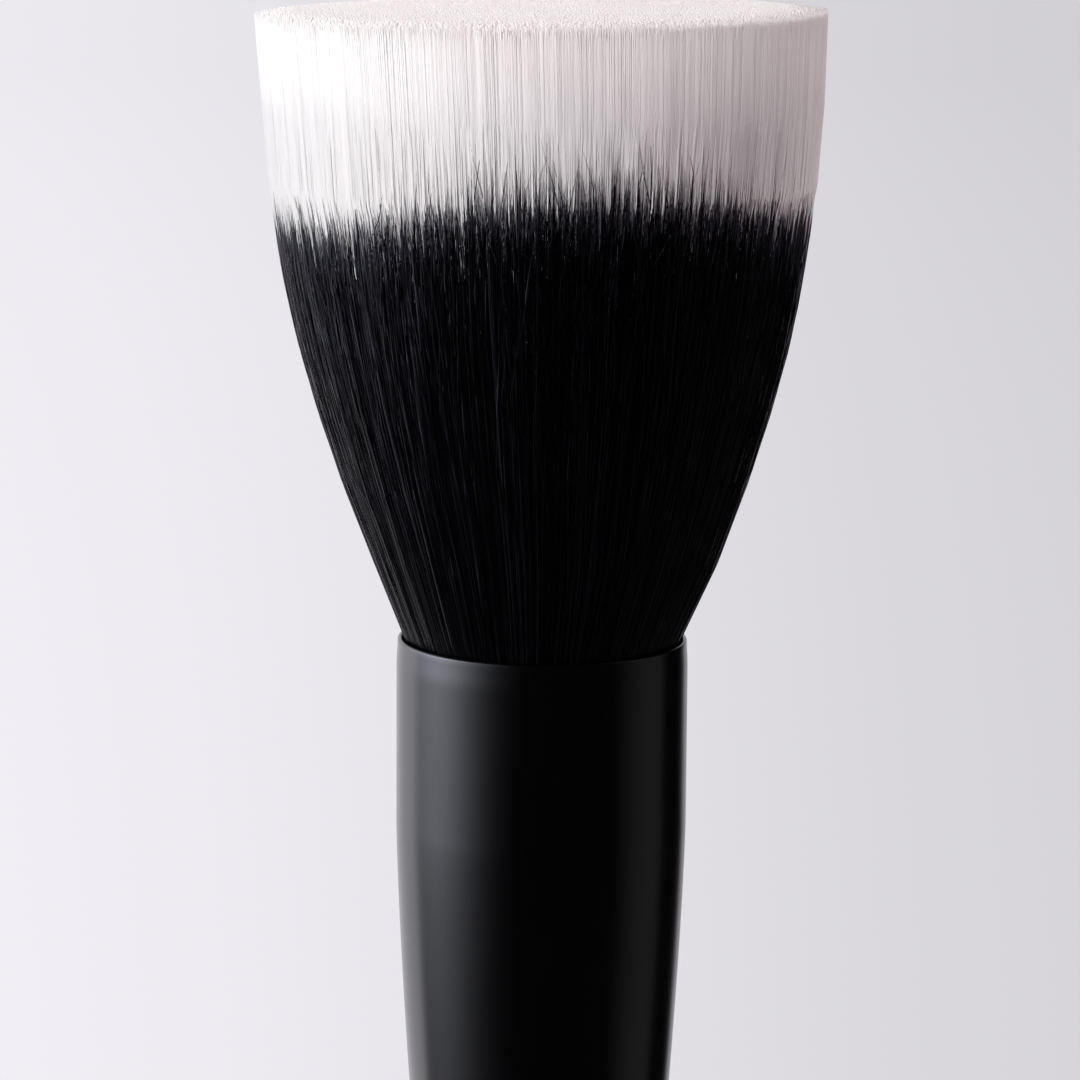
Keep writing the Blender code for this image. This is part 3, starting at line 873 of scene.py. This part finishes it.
def in_radians(angles):
    """Angles in degrees as radians."""
    return [math.radians(angle) for angle in angles]


def bell(tree, value, middle, spread):
    """A bell curve of an angle, from its middle and spread in degrees."""
    middle, spread = in_radians((middle, spread))
    off = calculate(tree, "DIVIDE", calculate(tree, "SUBTRACT", value, middle), spread)
    square = calculate(tree, "MULTIPLY", off, off)
    return calculate(tree, "EXPONENT", calculate(tree, "MULTIPLY", square, -0.5))


def build_world():
    """A soft window light from the left, a pale wall behind, and a dark room on the camera's side."""
    world = bpy.data.worlds.new("studio")
    bpy.context.scene.world = world
    world.use_nodes = True
    tree = world.node_tree
    tree.nodes.clear()
    way = node(tree, "TexCoord").outputs["Generated"]
    east, north, up = node(tree, "SeparateXYZ", Vector=way).outputs
    turn = calculate(tree, "ARCTAN2", east, calculate(tree, "MULTIPLY", north, -1.0))
    rise = calculate(tree, "ARCSINE", up)
    window = calculate(tree, "MULTIPLY", bell(tree, turn, WINDOW_TURN, WINDOW_TURN_SPREAD),
                       bell(tree, rise, WINDOW_RISE, WINDOW_RISE_SPREAD))
    left_wall = mapped(tree, turn, *in_radians(LEFT_WALL_TURNS), LEFT_WALL_LEVEL, 0.0, "SMOOTHSTEP")
    right_wall = mapped(tree, turn, *in_radians(RIGHT_WALL_TURNS), 0.0, RIGHT_WALL_LEVEL, "SMOOTHSTEP")
    right_card = calculate(tree, "MULTIPLY", mapped(tree, turn, *in_radians(CARD_START_TURNS)),
                           mapped(tree, turn, *in_radians(CARD_END_TURNS), 1.0, 0.0))
    dim = calculate(tree, "MULTIPLY_ADD", right_card, CARD_LEVEL, ROOM_LEVEL)
    wall = calculate(tree, "ADD", calculate(tree, "ADD", left_wall, right_wall), dim)
    path = node(tree, "LightPath").outputs
    wall_light = node(tree, "Background", Color=pale_colour(tree, wall),
                      Strength=mapped(tree, path["Is Glossy Ray"], 0.0, 1.0, *WALL_STRENGTHS))
    strength = mapped(tree, path["Is Glossy Ray"], 0.0, 1.0, *WINDOW_STRENGTHS)
    window_light = node(tree, "Background", Color=WINDOW_COLOUR,
                        Strength=calculate(tree, "MULTIPLY", window, strength))
    room = node(tree, "AddShader", i0=wall_light.outputs[0], i1=window_light.outputs[0])
    # For camera rays the backdrop shows painted light, lighter on the left than on the right
    level, _ = pale_level(tree, east, north)
    seen = node(tree, "Background", Color=pale_colour(tree, level))
    mix = node(tree, "MixShader", Fac=path["Is Camera Ray"], i1=room.outputs[0], i2=seen.outputs[0])
    output = tree.nodes.new("ShaderNodeOutputWorld")
    tree.links.new(mix.outputs[0], output.inputs[0])


def floor_material():
    """A pale floor: it takes the brush's shadow near by, and far off the camera sees the backdrop, with
    painted light that is lighter on the left and toward the camera.
    """
    material, tree, output = new_material("pale_floor")
    place = node(tree, "NewGeometry").outputs["Position"]
    east, north, _ = node(tree, "SeparateXYZ", Vector=place).outputs
    toward = calculate(tree, "SUBTRACT", north, CAMERA_PLACE[1])
    level, length = pale_level(tree, east, toward)
    # Painted light: the far floor is lighter toward the camera
    painted_lift = mapped(tree, length, *FLOOR_PAINTED_LIGHT_RANGE, FLOOR_PAINTED_LIGHT, 0.0)
    level = calculate(tree, "ADD", level, painted_lift)
    far_off = node(tree, "VectorMath", {"operation": "LENGTH"}, i0=place).outputs["Value"]
    camera = node(tree, "LightPath").outputs["Is Camera Ray"]
    fade = calculate(tree, "MULTIPLY", camera, mapped(tree, far_off, *FLOOR_FADE_RANGE, ease="SMOOTHSTEP"))
    real = node(tree, "BsdfDiffuse", Color=FLOOR_COLOUR)
    seen = node(tree, "Emission", Color=pale_colour(tree, level))
    mix = node(tree, "MixShader", Fac=fade, i1=real.outputs[0], i2=seen.outputs[0])
    tree.links.new(mix.outputs[0], output.inputs[0])
    return material


def build_floor():
    """A wide round floor at the butt's height."""
    turns = np.arange(FLOOR_SIDES) * FULL_TURN / FLOOR_SIDES
    edge = [(FLOOR_RADIUS * math.cos(turn), FLOOR_RADIUS * math.sin(turn), 0) for turn in turns]
    mesh = bpy.data.meshes.new("floor")
    mesh.from_pydata(edge, [], [tuple(range(FLOOR_SIDES))])
    mesh.materials.append(floor_material())
    floor = bpy.data.objects.new("floor", mesh)
    bpy.context.scene.collection.objects.link(floor)
    floor.visible_glossy = False


def add_lamp(name, place, aim, size, radiance, colour):
    """A large soft lamp that lights without showing in the gloss."""
    lamp = bpy.data.lights.new(name, "AREA")
    lamp.shape = "SQUARE"
    lamp.size = size
    lamp.energy = radiance * math.pi * size * size
    lamp.color = colour
    thing = bpy.data.objects.new(name, lamp)
    bpy.context.scene.collection.objects.link(thing)
    thing.location = place
    thing.rotation_euler = (Vector(aim) - Vector(place)).to_track_quat("-Z", "Y").to_euler()
    thing.visible_camera = False
    thing.visible_glossy = False


def build_camera():
    """The camera at the photograph's place and angle."""
    camera = bpy.data.cameras.new("camera")
    camera.sensor_width = SENSOR_WIDTH
    camera.lens = FOCAL_LENGTH
    camera.clip_start, camera.clip_end = CLIP_RANGE
    thing = bpy.data.objects.new("camera", camera)
    bpy.context.scene.collection.objects.link(thing)
    thing.location = CAMERA_PLACE
    turned_up = Matrix.Rotation(math.pi / 2 - CAMERA_PITCH_DOWN, 3, "X")
    thing.rotation_euler = (turned_up @ Matrix.Rotation(CAMERA_ROLL, 3, "Z")).to_euler()
    bpy.context.scene.camera = thing


def main():
    """Build the pieces, the stage, the light and the camera."""
    bpy.context.scene.view_settings.view_transform = "Standard"
    dress(turned("ferrule_fine", ferrule_outline(), FERRULE_SIDES, satin_metal(), closed=True),
          "ferrule")
    dress(turned("handle_fine", handle_outline(), HANDLE_SIDES, lacquered_wood(), closed=False),
          "handle")
    for name, material in (("handle_adhesive", cured_adhesive()), ("root_resin", root_resin())):
        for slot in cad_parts[name].material_slots:
            slot.material = material
    hair, fibre = black_hair(), white_fibre()
    add_black_hair(hair)
    add_white_fibre(fibre)
    build_world()
    build_floor()
    for lamp in LAMPS:
        add_lamp(*lamp)
    build_camera()
    bpy.context.view_layer.update()


main()
